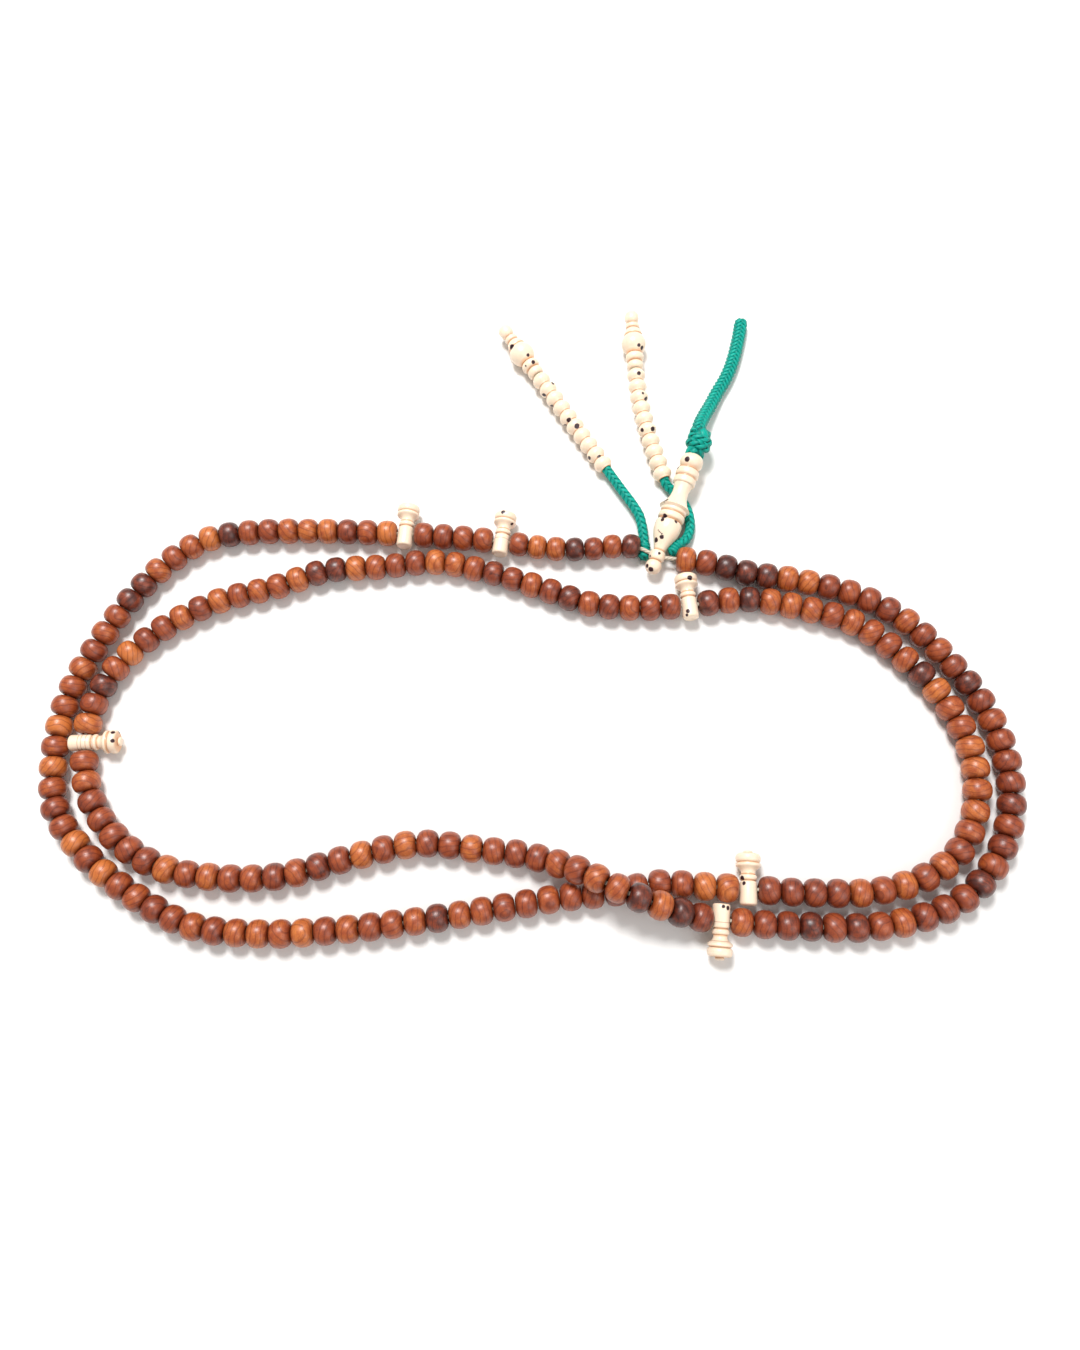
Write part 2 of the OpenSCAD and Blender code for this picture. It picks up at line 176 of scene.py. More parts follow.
class Colours(bpy.types.PropertyGroup):
    """Colours of the finishes"""

    wood_dark: colour("Dark wood", "The darkest beads", "#4C231C")
    wood_red: colour("Red wood", "The red-brown beads", "#863A20")
    wood_mid: colour("Brown wood", "The most common beads", "#A24C24")
    wood_light: colour("Light wood", "The lightest beads", "#C66F33")
    ivory: colour("Ivory", "The turned pale pieces", "#F6E0C6")
    # Painted shade: the grooves of the pale pieces are darkened towards this colour
    groove_shade_colour: colour("Peach", "Grooves of the pale pieces", "#DDA77A")
    inlay: colour("Dots", "Dark dots on the pale pieces", "#331A22")
    teal: colour("Teal", "The braided cords", "#00897A")
    # Painted shade: dark teal for the gaps between a braid's strands
    teal_gap_shade: colour("Dark teal", "Between the strands of a braid", "#003F3B")
    thread: colour("Thread", "The main thread", "#D9CDB8")
    floor: colour("Floor", "The surface under the beads", "#F2F1EF")


# The camera's place in metres, and its heading, pitch and roll in degrees
CAMERA_AT = (0.0163, -0.1109, 0.2854)
CAMERA_TURNS = (7.75, 17.52, -6.39)
# How much larger a dot is drawn than its stated radius, for its soft uneven edge
DOT_SPREAD = 1.35
# Tones of the seven lead beads, from 0 for the darkest to 1 for the lightest
LEAD_TONES = (0.12, 0.62, 0.36, 0.05, 0.74, 0.86, 0.5)
# The knot's coil, in millimetres: its turns, its radius, where it starts and how far it climbs
WRAP_TURNS, WRAP_R, WRAP_FROM, WRAP_CLIMB, WRAP_TILT = 2.4, 2.5, 37.9, 4.6, 1.1
WRAP_STEPS = 44


# ---- Routes ----

class Route:
    """A smooth curve through points, read by the distance along it, all in millimetres"""

    def __init__(self, points, closed=False):
        pts = [Vector(p) for p in points]
        n = len(pts)
        slopes = []
        for i in range(n):
            if closed or 0 < i < n - 1:
                a, b, c = pts[i - 1], pts[i], pts[(i + 1) % n]
                u, v = (b - a).length, (c - b).length
                slopes.append(((b - a) / u * v + (c - b) / v * u) / (u + v))
            else:
                k = min(i, n - 2)
                slopes.append((pts[k + 1] - pts[k]).normalized())
        self.points = []
        for i in range(n if closed else n - 1):
            p, q = pts[i], pts[(i + 1) % n]
            h = (q - p).length
            m, k = slopes[i] * h, slopes[(i + 1) % n] * h
            for step in range(CURVE_STEPS):
                u = step / CURVE_STEPS
                self.points.append(
                    (2 * u ** 3 - 3 * u ** 2 + 1) * p + (u ** 3 - 2 * u ** 2 + u) * m
                    + (3 * u ** 2 - 2 * u ** 3) * q + (u ** 3 - u ** 2) * k)
        self.points.append(pts[0] if closed else pts[-1])
        self.runs = [0.0]
        for a, b in zip(self.points, self.points[1:]):
            self.runs.append(self.runs[-1] + (b - a).length)
        self.length = self.runs[-1]
        self.closed = closed

    def at(self, s):
        if self.closed:
            s %= self.length
        i = min(max(bisect_right(self.runs, s) - 1, 0), len(self.points) - 2)
        share = (s - self.runs[i]) / (self.runs[i + 1] - self.runs[i])
        if not self.closed:
            share = min(max(share, 0), 1)
        return self.points[i].lerp(self.points[i + 1], share)

    def heading(self, s):
        reach = 0.4
        if not self.closed:
            s = min(max(s, reach), self.length - reach)
        return (self.at(s + reach) - self.at(s - reach)).normalized()


MAIN = Route(MAIN_ROUTE, closed=True)
LEFT_DIR = (LEFT_BALL - LEFT_PIVOT).normalized()
RIGHT = Route(RIGHT_ROUTE)
TOTALS = [sum(b * s for b, s in zip(STRETCH_BEADS[:k], STRETCH_SIZE)) for k in range(8)]
PITCH = (MAIN.length - 2 * HEAD_SLOT - 6 * MARKER_SLOT) / TOTALS[7]


def stretch_start(k):
    return HEAD_SLOT + PITCH * TOTALS[k] + MARKER_SLOT * k


def bead_run(k, i):
    return stretch_start(k) + (i + 0.5) * PITCH * STRETCH_SIZE[k]


def marker_run(k):
    return stretch_start(k) - MARKER_SLOT / 2


def placed(point, heading):
    """The matrix that stands a piece made along z at a point, with its z along a heading"""
    turn = Matrix.Rotation(math.atan2(heading.y, heading.x), 4, "Z")
    lean = Matrix.Rotation(math.acos(max(-1, min(1, heading.z))), 4, "Y")
    return Matrix.Translation(Vector(point) * MM) @ turn @ lean


def marker_place(k):
    s = marker_run(k)
    d = MAIN.heading(s)
    turn = Matrix.Rotation(math.atan2(d.y, d.x) - math.pi / 2 * MARKER_SIDE[k - 1], 4, "Z")
    return (Matrix.Translation(MAIN.at(s) * MM) @ turn
            @ Matrix.Rotation(math.radians(90 + MARKER_DROOP), 4, "Y"))


def head_place():
    d = MAIN.heading(0)
    turn = Matrix.Rotation(math.atan2(d.y, d.x) - math.pi / 2, 4, "Z")
    return (Matrix.Translation(MAIN.at(0) * MM) @ turn
            @ Matrix.Rotation(math.radians(90 - HEAD_RISE), 4, "Y"))


LEFT_LAST = LEFT_FIRST + (COUNTERS - 1) * COUNTER_PITCH
LEFT_FINIAL_AT = LEFT_LAST + COUNTER_PITCH / 2 + 0.3
RIGHT_LAST = RIGHT_FIRST + (COUNTERS - 1) * COUNTER_PITCH
RIGHT_FINIAL_AT = RIGHT_LAST + COUNTER_PITCH / 2 + 0.3
FINIAL_SOCKET = 5


# ---- Modelling helpers ----

def deselect():
    if bpy.context.object and bpy.context.object.mode != "OBJECT":
        bpy.ops.object.mode_set(mode="OBJECT")
    bpy.ops.object.select_all(action="DESELECT")


def pick(*objects):
    deselect()
    for o in objects:
        o.select_set(True)
    bpy.context.view_layer.objects.active = objects[0]


def turned_piece(name, outline, sides, bored=False):
    """A piece turned on z: a circle extruded and sized station by station along its outline,
    in millimetres from its foot. A bored piece's outline ends inside its hole."""
    deselect()
    z, r = outline[0]
    bpy.ops.mesh.primitive_circle_add(vertices=sides, radius=r * MM, location=(0, 0, z * MM))
    piece = bpy.context.object
    piece.name = name
    bpy.ops.object.transform_apply(location=True)
    bpy.ops.object.mode_set(mode="EDIT")
    bpy.ops.mesh.select_all(action="SELECT")
    for z_next, r_next in outline[1:]:
        bpy.ops.mesh.extrude_region_move(
            TRANSFORM_OT_translate={"value": (0, 0, (z_next - z) * MM)})
        bpy.ops.transform.resize(
            value=(r_next / r, r_next / r, 1), center_override=(0, 0, z_next * MM))
        z, r = z_next, r_next
    if not bored:
        bpy.ops.mesh.merge(type="CENTER")
    bpy.ops.object.mode_set(mode="OBJECT")
    if not bored:
        first = [v for v in piece.data.vertices if v.index < sides]
        for v in piece.data.vertices:
            v.select = False
        for e in piece.data.edges:
            e.select = False
        for f in piece.data.polygons:
            f.select = False
        for v in first:
            v.select = True
        bpy.ops.object.mode_set(mode="EDIT")
        bpy.ops.mesh.select_mode(type="VERT")
        bpy.ops.mesh.merge(type="CENTER")
    else:
        bpy.ops.object.mode_set(mode="EDIT")
    bpy.ops.mesh.select_all(action="SELECT")
    bpy.ops.mesh.remove_doubles(threshold=0.002 * MM)
    bpy.ops.mesh.normals_make_consistent(inside=False)
    bpy.ops.object.mode_set(mode="OBJECT")
    return piece


def soften(piece, angle=38):
    pick(piece)
    bpy.ops.object.shade_smooth_by_angle(angle=math.radians(angle))


def ring(low, high, r, edge, steps=4):
    """Outline of a ring with rounded edges"""
    edge = min(edge, (high - low) / 2)
    turn = [math.pi / 2 * i / steps for i in range(steps + 1)]
    lower = [(low + edge - edge * math.cos(a), r - edge + edge * math.sin(a)) for a in turn]
    upper = [(high - edge + edge * math.cos(a), r - edge + edge * math.sin(a))
             for a in reversed(turn)]
    return lower + upper


def ball(middle, r, low, high, steps=10):
    """Outline of a ball from one height to another"""
    a, b = math.acos((low - middle) / r), math.acos((high - middle) / r)
    angles = [a + (b - a) * i / steps for i in range(steps + 1)]
    return [(middle + r * math.cos(t), max(r * math.sin(t), 0.02)) for t in angles]


def hollow(low, high, middle, centre_r, r, steps=8):
    """Outline of a concave neck cut by a round tool"""
    heights = [low + (high - low) * i / steps for i in range(steps + 1)]
    return [(z, centre_r - math.sqrt(r * r - (z - middle) ** 2)) for z in heights]


def copy_of(source, name):
    piece = source.copy()
    piece.data = source.data.copy()
    piece.name = name
    bpy.context.collection.objects.link(piece)
    return piece


def remember_shape(piece, name, matrix=Matrix.Identity(4)):
    """Stores each point's place on the piece, in millimetres, for its pattern to follow"""
    points = piece.data.attributes.new(name, "FLOAT_VECTOR", "POINT")
    values = []
    for v in piece.data.vertices:
        values.extend((matrix @ v.co) / MM)
    points.data.foreach_set("vector", values)


def finish_piece(piece, material, body, slot_name, *nodes):
    piece.data.materials.clear()
    piece.data.materials.append(material)
    if body:
        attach(piece, body)
    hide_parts(*nodes)


# ---- Material helpers ----

def node(tree, kind, inputs=None, **settings):
    """Adds a node with its settings, and its inputs' values or links"""
    made = tree.nodes.new(kind)
    for key, value in settings.items():
        setattr(made, key, value)
    for key, value in (inputs or {}).items():
        if isinstance(value, bpy.types.NodeSocket):
            tree.links.new(value, made.inputs[key])
        else:
            made.inputs[key].default_value = value
    return made


def new_material(name):
    material = bpy.data.materials.new(name)
    material.use_nodes = True
    tree = material.node_tree
    tree.nodes.clear()
    surface = node(tree, "ShaderNodeBsdfPrincipled")
    node(tree, "ShaderNodeOutputMaterial", {"Surface": surface.outputs["BSDF"]})
    return material, tree, surface


def math_node(tree, operation, a, b=0.0, c=0.0, clamp=False):
    return node(tree, "ShaderNodeMath", {0: a, 1: b, 2: c}, operation=operation,
                use_clamp=clamp).outputs[0]


def mixed(tree, factor, a, b, how="MIX"):
    made = node(tree, "ShaderNodeMix", data_type="RGBA", blend_type=how)
    for index, value in ((0, factor), (6, a), (7, b)):
        if isinstance(value, bpy.types.NodeSocket):
            tree.links.new(value, made.inputs[index])
        else:
            made.inputs[index].default_value = value
    return made.outputs[2]


def stretched(tree, vector, scale):
    scaled = node(tree, "ShaderNodeVectorMath", {0: vector, 1: scale}, operation="MULTIPLY")
    return scaled.outputs[0]


def ramp(tree, factor, stops):
    made = node(tree, "ShaderNodeValToRGB", {"Fac": factor})
    elements = made.color_ramp.elements
    while len(elements) < len(stops):
        elements.new(1)
    for element, (place, value) in zip(elements, stops):
        element.position = place
        element.color = (*value, 1) if hasattr(value, "__len__") else (value, value, value, 1)
    return made.outputs["Color"]


def oiled_hardwood():
    """Dense red-brown hardwood, turned and rubbed with oil: satin, with fine growth lines
    about a millimetre apart, short open pores and a soft highlight"""
    c = bpy.context.scene.prayer_colours
    material, tree, surface = new_material("oiled_turned_hardwood")
    grain = node(tree, "ShaderNodeAttribute", attribute_name="grain").outputs["Vector"]
    tone = node(tree, "ShaderNodeAttribute", attribute_name="tone").outputs["Fac"]
    sway = node(tree, "ShaderNodeTexNoise", {"Vector": grain, "Scale": 0.22, "Detail": 2.0})
    swayed = node(tree, "ShaderNodeVectorMath", {
        0: sway.outputs["Color"], 1: (1.6, 1.6, 1.6), 2: grain},
        operation="MULTIPLY_ADD").outputs[0]
    # One growth line every 1.5 mm: a wave's period is 2 pi / (20 x scale)
    rings = node(tree, "ShaderNodeTexWave", {
        "Vector": swayed, "Scale": 2 * math.pi / (20 * 1.5), "Distortion": 1.1, "Detail": 2.0,
        "Detail Scale": 1.4}, wave_type="BANDS", bands_direction="Z", wave_profile="SAW")
    fibre = node(tree, "ShaderNodeTexNoise", {
        "Vector": stretched(tree, swayed, (0.35, 4.5, 4.5)), "Scale": 1.0, "Detail": 4.0,
        "Roughness": 0.65}).outputs["Fac"]
    cloud = node(tree, "ShaderNodeTexNoise", {
        "Vector": grain, "Scale": 0.45, "Detail": 2.0}).outputs["Fac"]
    # Pores are 0.1 mm wide in the real wood and are drawn about twice that, to show
    pores = node(tree, "ShaderNodeTexVoronoi", {
        "Vector": stretched(tree, swayed, (0.9, 3.4, 3.4)), "Scale": 1.0, "Randomness": 1.0})
    pore = node(tree, "ShaderNodeMapRange", {
        "Value": pores.outputs["Distance"], "From Min": 0.1, "From Max": 0.26,
        "To Min": 1.0, "To Max": 0.0}).outputs[0]
    line = node(tree, "ShaderNodeMapRange", {
        "Value": rings.outputs["Fac"], "From Min": 0.72, "From Max": 0.97,
        "To Min": 0.0, "To Max": 1.0}).outputs[0]
    shade = math_node(tree, "MULTIPLY_ADD", fibre, 0.9, -0.45)
    shade = math_node(tree, "ADD", math_node(tree, "MULTIPLY_ADD", cloud, 0.9, -0.45), shade)
    body = ramp(tree, math_node(tree, "ADD", tone, shade, clamp=True), (
        (0.0, c.wood_dark), (0.3, c.wood_red), (0.62, c.wood_mid), (1.0, c.wood_light)))
    # Dark tone multiplied in for the growth lines and pores, and as painted shade at the bored ends
    dark = (0.42, 0.3, 0.27, 1)
    lined = mixed(tree, math_node(tree, "MULTIPLY", line, 0.75), body, dark, "MULTIPLY")
    # Painted shade: the bored ends, where one bead presses on the next, are darkened in the colour
    end = node(tree, "ShaderNodeAttribute", attribute_name="end").outputs["Fac"]
    lined = mixed(tree, math_node(tree, "MULTIPLY", end, 0.7), lined, dark, "MULTIPLY")
    poured = mixed(tree, math_node(tree, "MULTIPLY", pore, 0.7), lined, dark, "MULTIPLY")
    tree.links.new(poured, surface.inputs["Base Color"])
    tree.links.new(math_node(tree, "MULTIPLY_ADD", pore, 0.2,
                             math_node(tree, "MULTIPLY_ADD", fibre, 0.16, 0.3)),
                   surface.inputs["Roughness"])
    sunk = math_node(tree, "MULTIPLY_ADD", pore, 0.6, math_node(tree, "MULTIPLY", line, 0.3))
    relief = math_node(tree, "SUBTRACT", math_node(tree, "MULTIPLY", fibre, 0.4), sunk)
    bump = node(tree, "ShaderNodeBump", {"Height": relief, "Strength": 0.5, "Distance": 0.06 * MM})
    tree.links.new(bump.outputs[0], surface.inputs["Normal"])
    surface.inputs["IOR"].default_value = 1.5
    surface.inputs["Coat Weight"].default_value = 0.15
    surface.inputs["Coat Roughness"].default_value = 0.3
    return material


def polished_camel_bone(name, spots=(), scribes=()):
    """Cream bone turned on a lathe and polished: smooth and a little translucent, with faint
    turning lines. Spots are (distance along, angle, radius) of dark burnt-in dots, and scribes
    are the heights of thin brown lines, in the piece's own millimetres and degrees."""
    c = bpy.context.scene.prayer_colours
    material, tree, surface = new_material(name)
    place = node(tree, "ShaderNodeAttribute", attribute_name="turned").outputs["Vector"]
    wobble = node(tree, "ShaderNodeTexNoise", {"Vector": place, "Scale": 1.1, "Detail": 2.0})
    centred = node(tree, "ShaderNodeVectorMath", {0: place, 1: (0.2, 0.2, 0.2)},
                   operation="SUBTRACT")
    moved = node(tree, "ShaderNodeVectorMath", {
        0: wobble.outputs["Color"], 1: (0.4, 0.4, 0.4), 2: centred.outputs[0]},
        operation="MULTIPLY_ADD").outputs[0]
    cloud = node(tree, "ShaderNodeTexNoise", {
        "Vector": stretched(tree, place, (1, 1, 0.3)), "Scale": 0.5, "Detail": 3.0}).outputs["Fac"]
    hue = ramp(tree, cloud, ((0.3, tuple(v * 0.93 for v in c.ivory)), (0.62, c.ivory)))
    height = node(tree, "ShaderNodeSeparateXYZ", {0: place}).outputs["Z"]
    # Turning lines 0.35 mm apart
    lathe = node(tree, "ShaderNodeTexNoise", {"W": math_node(tree, "MULTIPLY", height, 2.8),
                                              "Scale": 1.0, "Detail": 2.0},
                 noise_dimensions="1D").outputs["Fac"]
    painted_groove_shade = node(tree, "ShaderNodeAttribute", attribute_name="painted_groove_shade").outputs["Fac"]
    # Painted shade: the grooves are darkened towards the groove colour
    hue = mixed(tree, math_node(tree, "MULTIPLY", painted_groove_shade, 0.95), hue, (*c.groove_shade_colour, 1))
    for at in scribes:
        near = math_node(tree, "ABSOLUTE", math_node(tree, "SUBTRACT", height, at))
        edge = node(tree, "ShaderNodeMapRange", {
            "Value": near, "From Min": 0.06, "From Max": 0.16, "To Min": 0.7, "To Max": 0.0})
        hue = mixed(tree, edge.outputs[0], hue, (*linear("#B98A6C"), 1))
    nearest = None
    for point, size in spots:
        far = node(tree, "ShaderNodeVectorMath", {0: moved, 1: point}, operation="DISTANCE")
        gap = math_node(tree, "SUBTRACT", far.outputs["Value"], size * DOT_SPREAD)
        nearest = gap if nearest is None else math_node(tree, "MINIMUM", nearest, gap)
    gloss = math_node(tree, "MULTIPLY_ADD", lathe, 0.12, 0.27)
    if nearest is not None:
        inlay = node(tree, "ShaderNodeMapRange", {
            "Value": nearest, "From Min": -0.08, "From Max": 0.08, "To Min": 1.0, "To Max": 0.0})
        hue = mixed(tree, inlay.outputs[0], hue, (*c.inlay, 1))
    tree.links.new(hue, surface.inputs["Base Color"])
    tree.links.new(gloss, surface.inputs["Roughness"])
    bump = node(tree, "ShaderNodeBump", {"Height": lathe, "Strength": 0.25, "Distance": 0.04 * MM})
    tree.links.new(bump.outputs[0], surface.inputs["Normal"])
    surface.inputs["IOR"].default_value = 1.54
    surface.inputs["Subsurface Weight"].default_value = 0.12
    surface.inputs["Subsurface Radius"].default_value = (1.0, 0.6, 0.4)
    surface.inputs["Subsurface Scale"].default_value = 0.8 * MM
    return material


def plaited_rayon():
    """Plaited rayon satin cord: bright filaments lie along each strand and glint. The raised
    strands are lightened as painted highlight, and the strands that dip under and the gaps between
    the strands are darkened as painted shade"""
    c = bpy.context.scene.prayer_colours
    material, tree, surface = new_material("plaited_rayon_cord")
    uv = node(tree, "ShaderNodeUVMap", uv_map="strand").outputs["UV"]
    # Filaments are about 0.02 mm in real rayon and are drawn about 0.12 mm wide, to show
    threads = node(tree, "ShaderNodeTexNoise", {
        "Vector": stretched(tree, uv, (0.8, 22, 1)), "Scale": 1.0, "Detail": 3.0}).outputs["Fac"]
    cloud = node(tree, "ShaderNodeTexNoise", {
        "Vector": stretched(tree, uv, (0.5, 1, 1)), "Scale": 0.7, "Detail": 2.0}).outputs["Fac"]
    strand_shade = node(tree, "ShaderNodeAttribute", attribute_name="strand_shade").outputs["Fac"]
    depth = math_node(tree, "ADD", math_node(tree, "MULTIPLY_ADD", threads, 0.5, -0.25), strand_shade)
    patch = math_node(tree, "MULTIPLY_ADD", cloud, 0.3, -0.15)
    depth = math_node(tree, "ADD", patch, depth, clamp=True)
    # Painted shade and highlight: sunken strands and the core go to dark teal, raised strands to a
    # light teal
    hue = ramp(tree, depth, ((0.1, c.teal_gap_shade), (0.55, c.teal), (1.0, linear("#14B8A4"))))
    tree.links.new(hue, surface.inputs["Base Color"])
    gloss = math_node(tree, "MULTIPLY_ADD", threads, 0.25, 0.28)
    tree.links.new(gloss, surface.inputs["Roughness"])
    bump = node(tree, "ShaderNodeBump", {"Height": threads, "Strength": 0.6, "Distance": 0.08 * MM})
    tree.links.new(bump.outputs[0], surface.inputs["Normal"])
    surface.inputs["IOR"].default_value = 1.5
    surface.inputs["Specular IOR Level"].default_value = 0.2
    return material


def twisted_linen():
    """Twisted linen thread: matt and pale, with its plies running round it"""
    c = bpy.context.scene.prayer_colours
    material, tree, surface = new_material("twisted_linen_thread")
    uv = node(tree, "ShaderNodeUVMap", uv_map="strand").outputs["UV"]
    split = node(tree, "ShaderNodeSeparateXYZ", {0: uv})
    # Three plies, each going once round in 4 mm
    twist = math_node(tree, "MULTIPLY_ADD", split.outputs["X"], 0.25 * 3,
                      math_node(tree, "MULTIPLY", split.outputs["Y"], 3.0))
    plies = math_node(tree, "PINGPONG", twist, 0.5)
    fuzz = node(tree, "ShaderNodeTexNoise", {
        "Vector": stretched(tree, uv, (3, 8, 1)), "Scale": 1.0, "Detail": 4.0}).outputs["Fac"]
    fluff = math_node(tree, "MULTIPLY", fuzz, 0.4)
    depth = math_node(tree, "MULTIPLY_ADD", plies, 1.4, fluff, clamp=True)
    # Painted shade: the thread's colour is darkened to half in the grooves between the plies; the
    # fuzz adds real unevenness
    hue = ramp(tree, depth, ((0.1, tuple(v * 0.5 for v in c.thread)), (0.8, c.thread)))
    tree.links.new(hue, surface.inputs["Base Color"])
    surface.inputs["Roughness"].default_value = 0.8
    bump = node(tree, "ShaderNodeBump", {"Height": depth, "Strength": 0.8, "Distance": 0.15 * MM})
    tree.links.new(bump.outputs[0], surface.inputs["Normal"])
    return material


def matt_paper():
    """Pale seamless paper under the beads: flat and matt"""
    c = bpy.context.scene.prayer_colours
    material, tree, surface = new_material("matt_seamless_paper")
    fleck = node(tree, "ShaderNodeTexNoise", {"Scale": 900.0, "Detail": 2.0}).outputs["Fac"]
    hue = ramp(tree, fleck, ((0.0, tuple(v * 0.985 for v in c.floor)), (1.0, c.floor)))
    tree.links.new(hue, surface.inputs["Base Color"])
    surface.inputs["Roughness"].default_value = 0.85
    surface.inputs["Specular IOR Level"].default_value = 0.2
    return material


# ---- Cords ----

def frames_along(points):
    """A sideways and an upward direction at each point, turned no more than the path is"""
    ahead = [(points[min(i + 1, len(points) - 1)] - points[max(i - 1, 0)]).normalized()
             for i in range(len(points))]
    side = ahead[0].cross(Vector((0, 0, 1)))
    side = (side if side.length > 0.1 else Vector((1, 0, 0))).normalized()
    result = []
    for d in ahead:
        side = (side - d * side.dot(d)).normalized()
        result.append((side, d.cross(side).normalized(), d))
    return result


def tube_mesh(rings, uvs, strand_shades=None):
    """A mesh from rings of points, closed at both ends, with its strand map"""
    sides = len(rings[0])
    points = [p * MM for one in rings for p in one]
    faces, maps = [], []
    for i in range(len(rings) - 1):
        for k in range(sides):
            l = (k + 1) % sides
            a, b = i * sides, (i + 1) * sides
            faces.append((a + k, a + l, b + l, b + k))
            maps.append(((uvs[i], k / sides), (uvs[i], (k + 1) / sides),
                         (uvs[i + 1], (k + 1) / sides), (uvs[i + 1], k / sides)))
    faces.append(tuple(reversed(range(sides))))
    maps.append([(uvs[0], k / sides) for k in reversed(range(sides))])
    last = (len(rings) - 1) * sides
    faces.append(tuple(range(last, last + sides)))
    maps.append([(uvs[-1], k / sides) for k in range(sides)])
    return points, faces, maps, [v for v in (strand_shades or [0.5] * len(rings)) for _ in range(sides)]


def mesh_of(name, parts):
    points, faces, flat, strand_shades = [], [], [], []
    for p, f, m, strand_shade in parts:
        base = len(points)
        points.extend(p)
        faces.extend(tuple(base + i for i in one) for one in f)
        for one in m:
            for uv in one:
                flat.extend(uv)
        strand_shades.extend(strand_shade)
    mesh = bpy.data.meshes.new(name)
    mesh.from_pydata(points, [], faces)
    mesh.uv_layers.new(name="strand").data.foreach_set("uv", flat)
    # Painted shade per point: how light or dark the braid's colour is drawn there
    mesh.attributes.new("strand_shade", "FLOAT", "POINT").data.foreach_set("value", strand_shades)
    mesh.polygons.foreach_set("use_smooth", [True] * len(faces))
    mesh.validate()
    mesh.update()
    piece = bpy.data.objects.new(name, mesh)
    bpy.context.collection.objects.link(piece)
    return piece


def braid(route, start, end, diameter, strands=8, lay=7.5, round_start=False, round_end=False):
    """The parts of a round plait: half of its strands go round one way and half the other, each
    over two and under two, about a core coloured dark as painted shade between the strands"""
    half = strands // 2
    radius = diameter / 2
    thick = radius * 0.19
    middle = radius * 0.86
    wave = radius * 0.08
    turn_per_mm = 2 * math.pi / lay
    per_crossing = 4
    count = max(12, round((end - start) * 2 * half / lay * per_crossing / 2))
    runs = [start + (end - start) * i / count for i in range(count + 1)]
    points = [route.at(s) for s in runs]
    frames = frames_along(points)

    def swell(s):
        """How full the plait is near a rounded end"""
        full = 1.0
        for on, gap in ((round_start, s - start), (round_end, end - s)):
            if on and gap < radius:
                full = min(full, math.sqrt(max(0.0, 1 - (1 - gap / radius) ** 2)))
        return max(full, 0.06)

    parts = []
    width = 2 * math.pi * middle / half * math.cos(math.atan(middle * turn_per_mm)) * 0.5
    for way in (1, -1):
        for j in range(half):
            rings, strand_shades = [], []
            for s, p, (side, up, ahead) in zip(runs, points, frames):
                run = s - start
                crossing = turn_per_mm * run * half / math.pi
                over = math.cos(math.pi / 2 * (
                    2 * j + crossing - 0.5 if way > 0 else 2 * j - crossing - 2.5))
                full = swell(s)
                angle = way * turn_per_mm * run + 2 * math.pi * j / half
                out = side * math.cos(angle) + up * math.sin(angle)
                round_ = up * math.cos(angle) - side * math.sin(angle)
                along = (ahead + round_ * way * middle * full * turn_per_mm).normalized()
                across = along.cross(out).normalized()
                centre = p + out * (middle + wave * over) * full
                fat = max(full, 0.35)
                rings.append([
                    centre + (across * (width * math.cos(a)) + out * (thick * math.sin(a))) * fat
                    for a in (k * math.pi / 3 for k in range(6))])
                # Painted shade and highlight: a strand is coloured lighter where it passes over and
                # darker where it dips under
                strand_shades.append(0.5 + 0.28 * over)
            parts.append(tube_mesh(rings, [s + 3.7 * j for s in runs], strand_shades))
    # Painted shade: the core is coloured dark teal to stand for the shade in the gaps between the
    # strands
    core_runs = runs[::4] + ([runs[-1]] if (len(runs) - 1) % 4 else [])
    core = []
    for i, s in enumerate(core_runs):
        side, up, ahead = frames[min(i * 4, len(frames) - 1)]
        r = (middle - wave) * swell(s) * 0.98
        core.append([route.at(s) + (side * math.cos(a) + up * math.sin(a)) * r
                     for a in (k * math.pi / 5 for k in range(10))])
    parts.append(tube_mesh(core, core_runs, [0.05] * len(core)))
    return parts


def whipping(route, start, end, turns, radius, yarn):
    """Yarn wound round a cord to bind it: one even coil"""
    count = turns * 16
    points = []
    for i in range(count + 1):
        s = start + (end - start) * i / count
        ahead = route.heading(s)
        side = ahead.cross(Vector((0, 0, 1))).normalized()
        up = side.cross(ahead)
        a = 2 * math.pi * turns * i / count
        points.append(route.at(s) + (side * math.cos(a) + up * math.sin(a)) * radius)
    rings = [[p + (side * math.cos(a) + up * math.sin(a)) * yarn / 2
              for a in (k * math.pi / 4 for k in range(8))]
             for p, (side, up, _) in zip(points, frames_along(points))]
    return tube_mesh(rings, [i * 0.5 for i in range(count + 1)], [0.6] * (count + 1))


def path_of(route, start, end, spacing=1.5):
    count = max(2, round((end - start) / spacing))
    return [tuple(route.at(start + (end - start) * i / count) * MM) for i in range(count + 1)]


# ---- Operators ----

class PRAYER_OT_camera(bpy.types.Operator):
    """Place the camera above and in front of the laid-out string"""

    bl_idname = "prayer.camera"
    bl_label = "Camera"

    def execute(self, context):
        data = bpy.data.cameras.new("camera")
        camera = bpy.data.objects.new("camera", data)
        context.collection.objects.link(camera)
        data.sensor_fit = "HORIZONTAL"
        data.sensor_width = 36
        data.lens = 33.33
        data.clip_start = 0.01
        data.clip_end = 10
        heading, pitch, roll = (math.radians(v) for v in CAMERA_TURNS)
        tilt = (Matrix.Rotation(heading, 4, "Z") @ Matrix.Rotation(pitch, 4, "X")
                @ Matrix.Rotation(roll, 4, "Z"))
        camera.matrix_world = Matrix.Translation(CAMERA_AT) @ tilt
        context.scene.camera = camera
        return {"FINISHED"}


